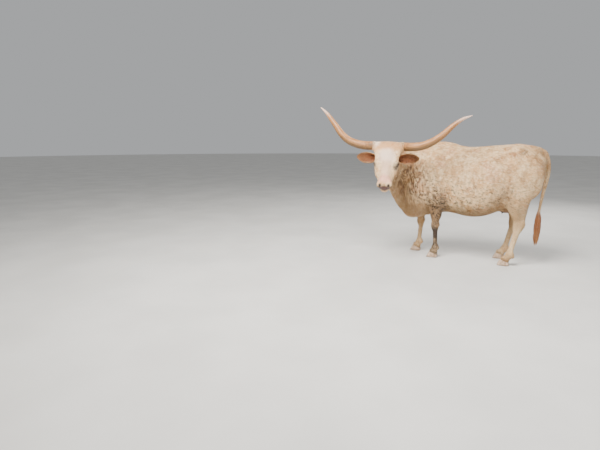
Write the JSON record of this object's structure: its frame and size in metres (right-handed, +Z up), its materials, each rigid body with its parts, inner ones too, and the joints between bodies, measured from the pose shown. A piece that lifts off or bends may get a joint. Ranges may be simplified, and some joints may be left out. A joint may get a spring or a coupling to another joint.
{
  "type": "longhorn cow figure",
  "caption": "Life-size longhorn cow standing square, head turned to her left, with long upswept horns, short cream speckled coat and a red-brown tail switch.",
  "frame": {"origin": "on the floor, under the middle of the animal's bounding box", "axes": "+Z up; the body runs along X with the chest toward -X and the tail toward +X; the animal's left side faces -Y"},
  "size_m": [2.4978, 1.1082, 1.7742],
  "materials": {
    "coat": "short cream hair, mottled and finely speckled",
    "horn": "smooth horn, tan with darker bands at the base and pale tips",
    "hoof": "dull horn",
    "eye": "wet, nearly black",
    "udder": "bare reddish skin",
    "switch": "coarse red-brown hair with paler ends"
  },
  "bodies": {
    "root": {"ear_left": "coat", "ear_right": "coat", "eye_left": "eye", "eye_right": "eye", "foreclaw_left_left": "hoof", "foreclaw_left_right": "hoof", "foreclaw_right_left": "hoof", "foreclaw_right_right": "hoof", "foreleg_left": "coat", "foreleg_right": "coat", "head": "coat", "hindclaw_left_left": "hoof", "hindclaw_left_right": "hoof", "hindclaw_right_left": "hoof", "hindclaw_right_right": "hoof", "hindleg_left": "coat", "hindleg_right": "coat", "horn_left": "horn", "horn_right": "horn", "neck": "coat", "tail": "coat", "tail_switch": "switch", "torso": "coat", "udder": "udder"}
  },
  "joints": []
}
